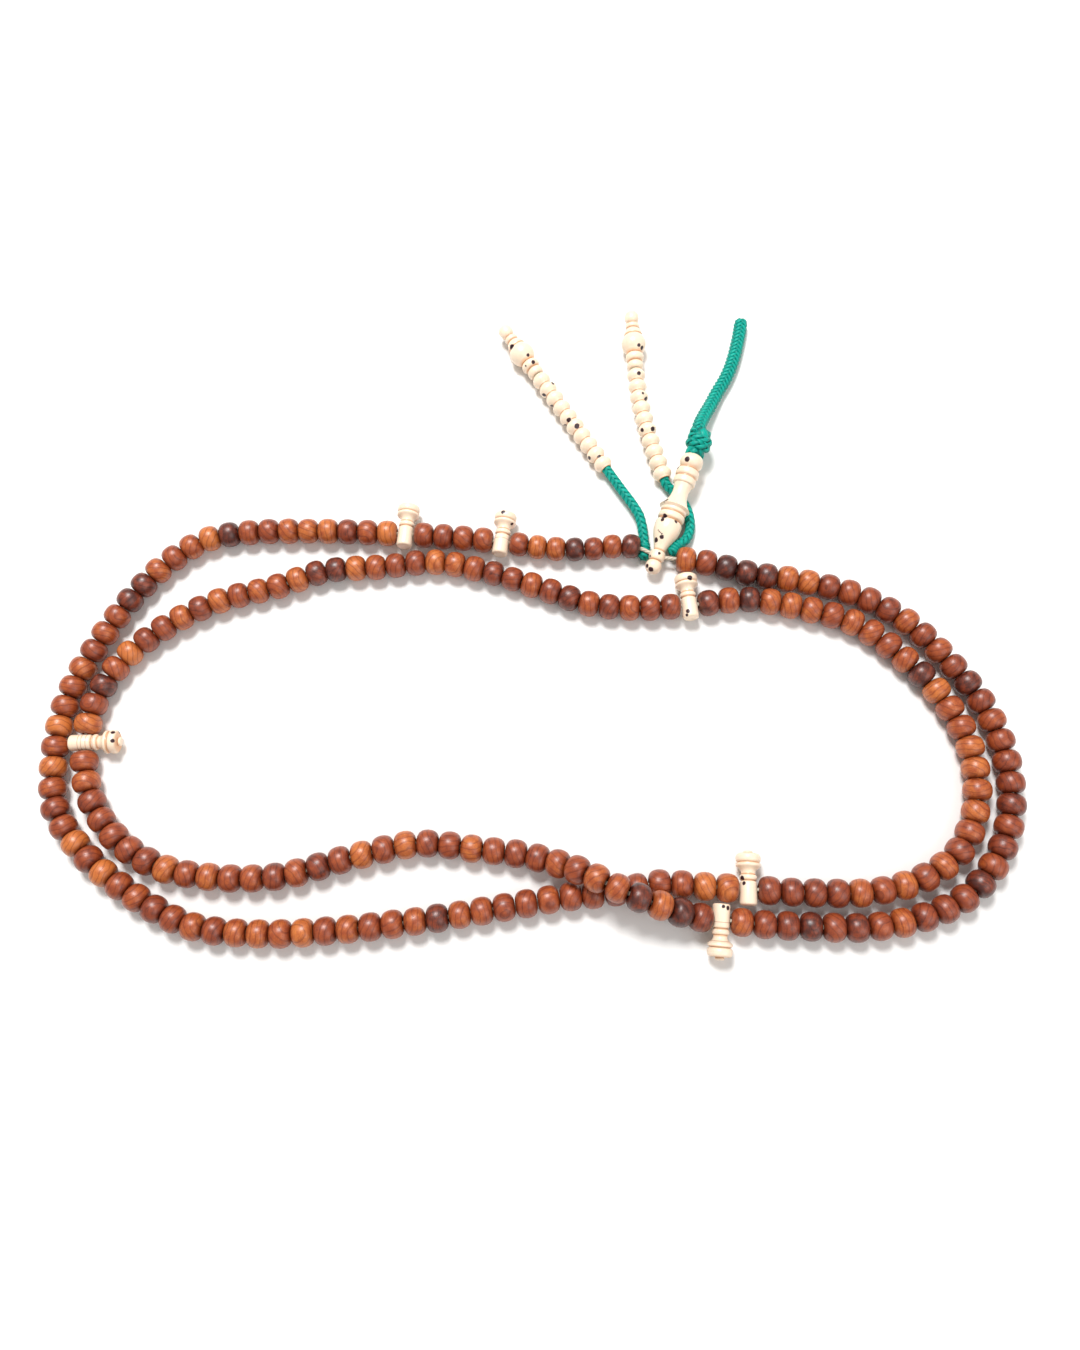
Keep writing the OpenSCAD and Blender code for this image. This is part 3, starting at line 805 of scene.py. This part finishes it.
class PRAYER_OT_thread(bpy.types.Operator):
    """Run the main thread through every bead, marker and the head"""

    bl_idname = "prayer.thread"
    bl_label = "Main thread"

    def execute(self, context):
        d = context.scene.prayer_beads.thread / MM
        count = round(MAIN.length / 2.4)
        runs = [MAIN.length * i / count for i in range(count + 1)]
        points = [MAIN.at(s) for s in runs]
        sides = 8
        rings = [[p + (side * math.cos(a) + up * math.sin(a)) * d / 2
                  for a in (k * 2 * math.pi / sides for k in range(sides))]
                 for p, (side, up, _) in zip(points, frames_along(points))]
        piece = mesh_of("main_thread", [tube_mesh(rings, runs)])
        finish_piece(piece, twisted_linen(), "string", "thread", "main_string")
        return {"FINISHED"}


def left_route():
    """The left counter cord from the main string to the inside of its finial"""
    far = LEFT_PIVOT + LEFT_DIR * (LEFT_FINIAL_AT + FINIAL_SOCKET - 0.3)
    return Route(LEFT_ROOT_ROUTE + [LEFT_PIVOT + LEFT_DIR * run for run in (0, 8, 30)] + [far])


def right_route():
    """The right counter cord from the main string to the inside of its finial"""
    return Route(RIGHT_ROOT_ROUTE + RIGHT_ROUTE[:-1])


class PRAYER_OT_counter_cords(bpy.types.Operator):
    """Plait the cords of the two counter strings"""

    bl_idname = "prayer.counter_cords"
    bl_label = "Counter cords"

    def execute(self, context):
        d = context.scene.prayer_cords.counter_cord / MM
        cord = plaited_rayon()
        right = right_route()
        right_end = right.length
        for side, route, end, pivot, ahead in (
                ("left", left_route(), None, LEFT_PIVOT, LEFT_DIR),
                ("right", right, right_end, Vector(RIGHT_ROUTE[0]), Vector((-0.55, 0.83, 0)))):
            end = end or route.length
            parts = braid(route, 0, end, d, round_start=True)
            parts.append(whipping(route, 0.9, 5.2, 4, d / 2 - 0.1, 1.15))
            piece = mesh_of(side + "_counter_cord", parts)
            finish_piece(piece, cord, None, "braid", side + "_cord_root", side + "_cord")
            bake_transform(piece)
            context.scene["prayer_" + side] = end
        return {"FINISHED"}


class PRAYER_OT_cord_end(bpy.types.Operator):
    """Tie the knot on the head's cap and plait the loose end that leaves it"""

    bl_idname = "prayer.cord_end"
    bl_label = "Cord end"

    def execute(self, context):
        d = context.scene.prayer_cords.end_cord / MM
        cord = bpy.data.materials["plaited_rayon_cord"]
        end = Route(END_ROUTE)
        loose = mesh_of("loose_cord_end", braid(end, 1.2, end.length, d, strands=12, lay=9,
                                                round_end=True))
        finish_piece(loose, cord, "braid_end", "braid", "cord_end")
        place = head_place()

        def on_axis(x, y, z):
            return (place @ (Vector((x, y, z)) * MM)) / MM
        neck = Route([on_axis(0, 0, z) for z in (34.9, 37, 40, 43, 44.8)])
        parts = braid(neck, 0, neck.length, 5.4, strands=8, lay=16, round_end=True)
        wraps = []
        for i in range(WRAP_STEPS + 1):
            a = 2 * math.pi * WRAP_TURNS * i / WRAP_STEPS
            wraps.append(on_axis(
                WRAP_R * math.cos(a), WRAP_R * math.sin(a),
                WRAP_FROM + WRAP_CLIMB * i / WRAP_STEPS + WRAP_TILT * math.cos(a - 0.6)))
        wound = Route(wraps)
        parts += braid(wound, 0, wound.length, 2.9, round_start=True, round_end=True)
        knot = mesh_of("cord_knot_wraps", parts)
        finish_piece(knot, cord, "knot", "braid", "cord_knot")
        end.at(1.2) * MM
        path_of(end, 1.2, end.length)
        return {"FINISHED"}


class PRAYER_OT_wooden_beads(bpy.types.Operator):
    """Turn one wooden bead and string a copy of it at every place"""

    bl_idname = "prayer.wooden_beads"
    bl_label = "Wooden beads"

    def execute(self, context):
        sizes = context.scene.prayer_beads
        draw = random.Random(sizes.seed)
        material = oiled_hardwood()
        half, r, bore = sizes.length / MM / 2, sizes.diameter / MM / 2, sizes.bore / MM / 2
        # A cage of a few dozen faces, a little fuller than the bead it rounds off to
        outline = [(-half * 0.98, bore), (-half, bore * 1.7), (-half * 0.84, r * 0.8),
                   (-half * 0.36, r), (half * 0.36, r), (half * 0.84, r * 0.8),
                   (half, bore * 1.7), (half * 0.98, bore), (-half * 0.98, bore)]
        cage = turned_piece("bead_cage", outline, 12, bored=True)
        rounder = cage.modifiers.new("round", "SUBSURF")
        rounder.levels = rounder.render_levels = 1
        pick(cage)
        bpy.ops.object.modifier_apply(modifier="round")
        bpy.ops.object.shade_smooth()
        # Rounding shrinks the cage, so it is brought back to its full size
        now = cage.dimensions / MM
        cage.data.transform(Matrix.Diagonal((2 * r / now.x, 2 * r / now.y, 2 * half / now.z, 1)))
        full = half * MM
        # Painted shade: how near each point is to a bored end, for the wood's colour to darken
        # there
        ends = [max(0.0, abs(v.co.z) / full - 0.55) / 0.45 for v in cage.data.vertices]
        cage.data.attributes.new("end", "FLOAT", "POINT").data.foreach_set("value", ends)
        places = [("lead_bead_%d" % (i + 1), 0, i, i) for i in range(7)]
        places += [("spacer_bead_%d" % (i + 1), 1, i, i) for i in range(4)]
        places += list(BEAD_GROUPS)
        for name, stretch, first, last in places:
            made = []
            for i in range(first, last + 1):
                bead = copy_of(cage, "%s_bead_%d" % (name, i))
                tone = min(max(draw.gauss(0.56, 0.2), 0.1), 1.0)
                if draw.random() < 0.06:
                    tone = draw.uniform(0.0, 0.15)
                if stretch == 0:
                    tone = LEAD_TONES[i]
                lean = [draw.gauss(0, 0.5) for _ in range(3)]
                upright = 1 if draw.random() < 0.65 else lean[2]
                across = Vector((lean[0], lean[1], upright)).normalized()
                spin = across.to_track_quat("Z", "Y").to_matrix().to_4x4().inverted()
                offset = Vector([draw.uniform(0, 60) for _ in range(3)])
                remember_shape(bead, "grain", Matrix.Translation(offset * MM) @ spin)
                values = bead.data.attributes.new("tone", "FLOAT", "POINT")
                values.data.foreach_set("value", [tone] * len(bead.data.vertices))
                wide = 1 - abs(draw.gauss(0, sizes.unevenness))
                long = 1 - abs(draw.gauss(0, sizes.unevenness)) * 0.6
                size = STRETCH_SIZE[stretch]
                tip = Matrix.Rotation(draw.gauss(0, 0.03), 4, "X") @ Matrix.Rotation(
                    draw.gauss(0, 0.03), 4, "Y")
                s = bead_run(stretch, i)
                bead.data.transform(
                    placed(MAIN.at(s), MAIN.heading(s)) @ tip
                    @ Matrix.Rotation(draw.uniform(0, 6), 4, "Z")
                    @ Matrix.Diagonal((wide * size, wide * size, long * min(size, 1), 1)))
                made.append(bead)
            pick(*made)
            if len(made) > 1:
                bpy.ops.object.join()
            group = context.object
            group.name = name + "_wood"
            body = name if first == last and stretch < 2 else "string"
            finish_piece(group, material, body, "wood", name)
        deselect()
        bpy.data.objects.remove(cage)
        return {"FINISHED"}


def store_groove_shade(piece, heights, reach=0.35):
    """Stores how near each point is to a groove, for the pale finish to be darkened there as
    painted shade
    """
    values = []
    for v in piece.data.vertices:
        gap = min([abs(v.co.z / MM - h) for h in heights] or [9])
        values.append(max(0.0, 1 - gap / reach))
    piece.data.attributes.new("painted_groove_shade", "FLOAT", "POINT").data.foreach_set("value", values)


def dots(*rows):
    """Dots on a turned piece. Each row is the distance along it, the angle round it in degrees,
    the distance from its axis, and the dot's radius"""
    return [((r * math.cos(math.radians(turn)), r * math.sin(math.radians(turn)), z), size)
            for z, turn, r, size in rows]


class PRAYER_OT_markers(bpy.types.Operator):
    """Turn one marker and stand a copy of it at each of its six places"""

    bl_idname = "prayer.markers"
    bl_label = "Markers"

    def execute(self, context):
        outline = (
            [(0, 0.05), (0, 0.6)] + ring(0, 6.6, 2.4, 0.7)[1:] + [(6.63, 1.95), (6.72, 1.95)]
            + ring(6.75, 8.3, 2.4, 0.6)
            + [(8.4, 1.97), (8.9, 1.93), (9.3, 2.02), (9.8, 2.35), (10.2, 2.85), (10.5, 3.25),
               (10.7, 3.4), (11.1, 3.42), (11.3, 3.36), (11.4, 3.05), (11.55, 3.02)]
            + ring(11.6, 14.1, 3.45, 0.9) + [(14.1, 1.5), (14.12, 1.3)]
            + ring(14.15, 15, 1.32, 0.5)[1:] + [(15, 0.05)])
        body = turned_piece("marker_blank", [(z - 4.4, r) for z, r in outline], 40)
        remember_shape(body, "turned")
        store_groove_shade(body, [6.67 - 4.4, 11.47 - 4.4, 8.4 - 4.4, 14.12 - 4.4])
        soften(body)
        spots = {
            1: dots((8.6, 169, 3.4, 0.5), (5.8, -121, 2.9, 0.4)),
            3: dots((2.8, 124, 2.3, 0.5), (1.3, 142, 2.4, 0.4)),
            4: dots((7.4, -166, 3.3, 0.62), (-2.9, 155, 2.4, 0.5),
                (-3.9, 141, 2.2, 0.35)),
            5: dots((9.3, 89, 3.2, 0.6), (8.8, 140, 3.4, 0.5),
                (9.2, -171, 3.2, 0.45)),
            6: dots((-3.3, 141, 2.4, 0.45), (-3.6, 175, 2.3, 0.4),
                (8.4, 60, 3.4, 0.5)),
        }
        scribes = {1: (0.4,), 5: (-1.4, -0.4, 0.9, 2.9), 6: (0.6, 5.6)}
        for k in range(1, 7):
            marker = copy_of(body, "marker_%d_turned" % k)
            marker.data.transform(marker_place(k))
            finish = polished_camel_bone("polished_bone_marker_%d" % k, spots.get(k, ()),
                                         scribes.get(k, ()))
            finish_piece(marker, finish, "marker_%d" % k, "turned_ivory_resin", "marker_%d" % k)
        bpy.data.objects.remove(body)
        return {"FINISHED"}


class PRAYER_OT_head(bpy.types.Operator):
    """Turn the head piece"""

    bl_idname = "prayer.head"
    bl_label = "Head piece"

    def execute(self, context):
        outline = (
            ball(-3.5, 2.5, -6, -1.8) + [(-1.75, 1.66)] + ring(-1.7, 1.6, 2.45, 1.0)
            + [(1.75, 1.68), (2.3, 1.86), (3, 2.08), (4, 2.45), (4.9, 2.86), (5.8, 3.22),
               (6.6, 3.55), (7.4, 3.82), (8.3, 4.05), (9.1, 4.15)]
            + ring(9.2, 11.75, 4.15, 1.1)[5:] + [(11.85, 3.68), (11.97, 3.7)]
            + ring(12.0, 14.3, 4.15, 0.8) + [(14.35, 3.8), (14.48, 3.8)]
            + ring(14.5, 16.2, 4.05, 0.6)[1:6] + hollow(16.3, 24.4, 22, 10.7, 8.2, 10)
            + ring(24.6, 26.9, 3.5, 0.6) + [(26.95, 3.2), (27.15, 3.2)]
            + ring(27.2, 29.8, 3.65, 0.8) + [(29.85, 3.25), (29.98, 3.25)]
            + ring(30, 35.2, 3.65, 2.5, 7) + [(35.2, 1.0), (34.6, 0.9), (34.6, 0.05)])
        head = turned_piece("head_turned", outline, 48)
        remember_shape(head, "turned")
        store_groove_shade(head, [-1.75, 1.75, 11.9, 14.42, 27.05, 29.9])
        soften(head)
        head.data.transform(head_place())
        # The last five make a short curved stroke on the lower bulb
        spots = dots(
            (31.8, 156, 3.6, 0.66), (29.2, 112, 3.6, 0.58),
            (16.8, 131, 4.1, 0.66), (11.1, 101, 4.0, 0.55),
            (9.7, 101, 4.1, 0.35), (11.6, 150, 3.9, 0.66),
            (10.3, 150, 4.1, 0.45), (11.2, -150, 4.0, 0.42),
            (4.2, 131, 2.5, 0.58), (5.2, 170, 3.0, 0.5),
            (-1.1, 123, 2.3, 0.3), (0.2, -170, 2.4, 0.32),
            (-4.5, 129, 2.3, 0.5), (-5.3, 170, 1.7, 0.6),
            (6.9, 142, 3.6, 0.16), (6.6, 150, 3.5, 0.16),
            (6.4, 158, 3.4, 0.16), (6.1, 166, 3.3, 0.16),
            (5.7, 174, 3.2, 0.16))
        finish = polished_camel_bone("polished_bone_head", spots)
        finish_piece(head, finish, "head", "turned_ivory_resin", "head_piece")
        return {"FINISHED"}


class PRAYER_OT_counters(bpy.types.Operator):
    """Turn one counter bead and one finial, and thread copies on both counter strings"""

    bl_idname = "prayer.counters"
    bl_label = "Counter beads and finials"

    def execute(self, context):
        sizes = context.scene.prayer_cords
        half, r = sizes.counter_length / MM / 2, sizes.counter / MM / 2
        bore = 1.65
        profile = [(-half, bore), (-half * 0.98, bore + 0.35)]
        profile += [(half * math.sin(math.radians(a)) * 0.98,
                     r - half * 0.95 + half * 0.95 * math.cos(math.radians(a)))
                    for a in (-62, -42, -20, 0, 20, 42, 62)]
        profile += [(half * 0.98, bore + 0.35), (half, bore), (-half, bore)]
        blank = turned_piece("counter_blank", profile, 28, bored=True)
        soften(blank, 60)
        finial_outline = (
            [(0, 1.65)] + ring(0, 2.85, 2.6, 1.2) + [(2.87, 1.9), (2.93, 1.9)]
            + ring(2.95, 5.8, 2.95, 1.2) + [(5.9, 2.4)]
            + ball(9.6, 4.0, 6.9, 12.35, 14) + [(12.6, 2.75), (12.75, 2.95), (13.1, 3.0)]
            + [(13.6, 2.85), (14.6, 2.35), (15.2, 1.9), (15.25, 1.75)]
            + ring(15.3, 17.1, 2.25, 0.7) + [(17.12, 1.8), (17.18, 1.8)]
            + ring(17.2, 22, 2.3, 2.0, 6) + [(22, 0.05)])
        tip = turned_piece("finial_blank", finial_outline, 40)
        soften(tip)
        finish = {
            "left": polished_camel_bone("polished_bone_left_counters", dots(
                (50.2, -140, 2.9, 0.45), (48.9, 106, 2.5, 0.5),
                (44.6, 86, 2.1, 0.5), (36.4, 151, 1.9, 0.6),
                (36.5, 74, 2.1, 0.5), (32.8, 175, 2.4, 0.65),
                (21.8, -104, 2.9, 0.5), (20.3, 177, 1.4, 0.6),
                (21.9, 110, 2.9, 0.5), (68.9, 135, 2.8, 0.7),
                (72.4, 72, 2.4, 0.4), (63.1, -169, 2.8, 0.4),
                (60.1, -167, 2.6, 0.5), (60.5, 135, 2.7, 0.3))),
            "right": polished_camel_bone("polished_bone_right_counters", dots(
                (19.3, 134, 2.8, 0.5), (18.7, -148, 2.6, 0.6),
                (25.1, 108, 2.9, 0.5), (30.3, -121, 2.2, 0.6),
                (31.7, -159, 2.9, 0.35), (39.1, -166, 2.8, 0.5),
                (49.4, -154, 3.2, 0.45), (49.0, -125, 3.0, 0.5))),
        }
        threaded = {"left": [], "right": []}
        for side in ("left", "right"):
            def spot(s):
                if side == "left":
                    return placed(LEFT_PIVOT + LEFT_DIR * s, LEFT_DIR)
                return placed(RIGHT.at(s), RIGHT.heading(s))
            first = LEFT_FIRST if side == "left" else RIGHT_FIRST
            for i in range(COUNTERS):
                s = first + i * COUNTER_PITCH
                bead = copy_of(blank, "%s_counter_%d_turned" % (side, i + 1))
                remember_shape(bead, "turned", Matrix.Translation((0, 0, s * MM)))
                store_groove_shade(bead, [-half, half], 0.3)
                bead.data.transform(spot(s))
                name = "%s_counter_%d" % (side, i + 1)
                finish_piece(bead, finish[side], name, "turned_ivory_resin", name)
                threaded[side].append(bead)
            s = LEFT_FINIAL_AT if side == "left" else RIGHT_FINIAL_AT
            finial = copy_of(tip, side + "_finial_turned")
            remember_shape(finial, "turned", Matrix.Translation((0, 0, s * MM)))
            store_groove_shade(finial, [2.9, 5.9, 12.6, 15.25, 17.15])
            if side == "left":
                finial.data.transform(spot(s))
            else:
                finial.data.transform(placed(RIGHT.at(s), RIGHT.heading(s + FINIAL_SOCKET / 2)))
            finish_piece(finial, finish[side], side + "_tail", "turned_ivory_resin",
                         side + "_finial")
            threaded[side].append(finial)
            route = left_route() if side == "left" else right_route()
            route.at(0) * MM
            path_of(route, 0, route.length)
        bpy.data.objects.remove(blank)
        bpy.data.objects.remove(tip)
        return {"FINISHED"}


class PRAYER_OT_stage(bpy.types.Operator):
    """Lay a pale floor and set up soft studio light"""

    bl_idname = "prayer.stage"
    bl_label = "Stage"

    def execute(self, context):
        deselect()
        bpy.ops.mesh.primitive_plane_add(size=6, location=(0, 0, -0.0002))
        floor = context.object
        floor.name = "floor"
        bpy.ops.object.transform_apply(location=True)
        floor.data.materials.append(matt_paper())
        world = bpy.data.worlds.new("studio")
        world.use_nodes = True
        background = world.node_tree.nodes["Background"]
        background.inputs["Color"].default_value = (1.0, 0.985, 0.965, 1)
        background.inputs["Strength"].default_value = 0.42
        context.scene.world = world
        for name, place, aim, size, power in (
                ("key_light", (-0.15, 0.4, 0.9), (0, 0, 0), 0.3, 11.0),
                ("fill_light", (0.6, -0.5, 0.8), (0, 0, 0), 0.8, 4.0)):
            data = bpy.data.lights.new(name, "AREA")
            data.size = size
            data.energy = power
            lamp = bpy.data.objects.new(name, data)
            context.collection.objects.link(lamp)
            lamp.location = place
            lamp.rotation_euler = (Vector(aim) - Vector(place)).to_track_quat("-Z", "Y").to_euler()
        context.scene.view_settings.view_transform = "Standard"
        return {"FINISHED"}


class PRAYER_PT_panel(bpy.types.Panel):
    """Lists the steps in order"""

    bl_idname = "PRAYER_PT_panel"
    bl_label = "Prayer Beads"
    bl_space_type = "VIEW_3D"
    bl_region_type = "UI"
    bl_category = "Prayer Beads"

    def draw(self, context):
        for group in (context.scene.prayer_beads, context.scene.prayer_cords,
                      context.scene.prayer_colours):
            box = self.layout.box()
            for key in group.__annotations__:
                box.prop(group, key)
        for step in STEPS:
            self.layout.operator(step.bl_idname)


STEPS = (
    PRAYER_OT_camera, PRAYER_OT_thread, PRAYER_OT_counter_cords, PRAYER_OT_cord_end,
    PRAYER_OT_wooden_beads, PRAYER_OT_markers, PRAYER_OT_head, PRAYER_OT_counters,
    PRAYER_OT_stage,
)
CLASSES = (BeadSizes, CordSizes, Colours) + STEPS + (PRAYER_PT_panel,)


def register():
    for one in CLASSES:
        bpy.utils.register_class(one)
    bpy.types.Scene.prayer_beads = PointerProperty(type=BeadSizes)
    bpy.types.Scene.prayer_cords = PointerProperty(type=CordSizes)
    bpy.types.Scene.prayer_colours = PointerProperty(type=Colours)


def unregister():
    for name in ("prayer_colours", "prayer_cords", "prayer_beads"):
        delattr(bpy.types.Scene, name)
    for one in reversed(CLASSES):
        bpy.utils.unregister_class(one)


def main():
    register()
    bpy.ops.prayer.camera()
    bpy.ops.prayer.thread()
    bpy.ops.prayer.counter_cords()
    bpy.ops.prayer.cord_end()
    bpy.ops.prayer.wooden_beads()
    bpy.ops.prayer.markers()
    bpy.ops.prayer.head()
    bpy.ops.prayer.counters()
    bpy.ops.prayer.stage()


if __name__ == "__main__":
    main()
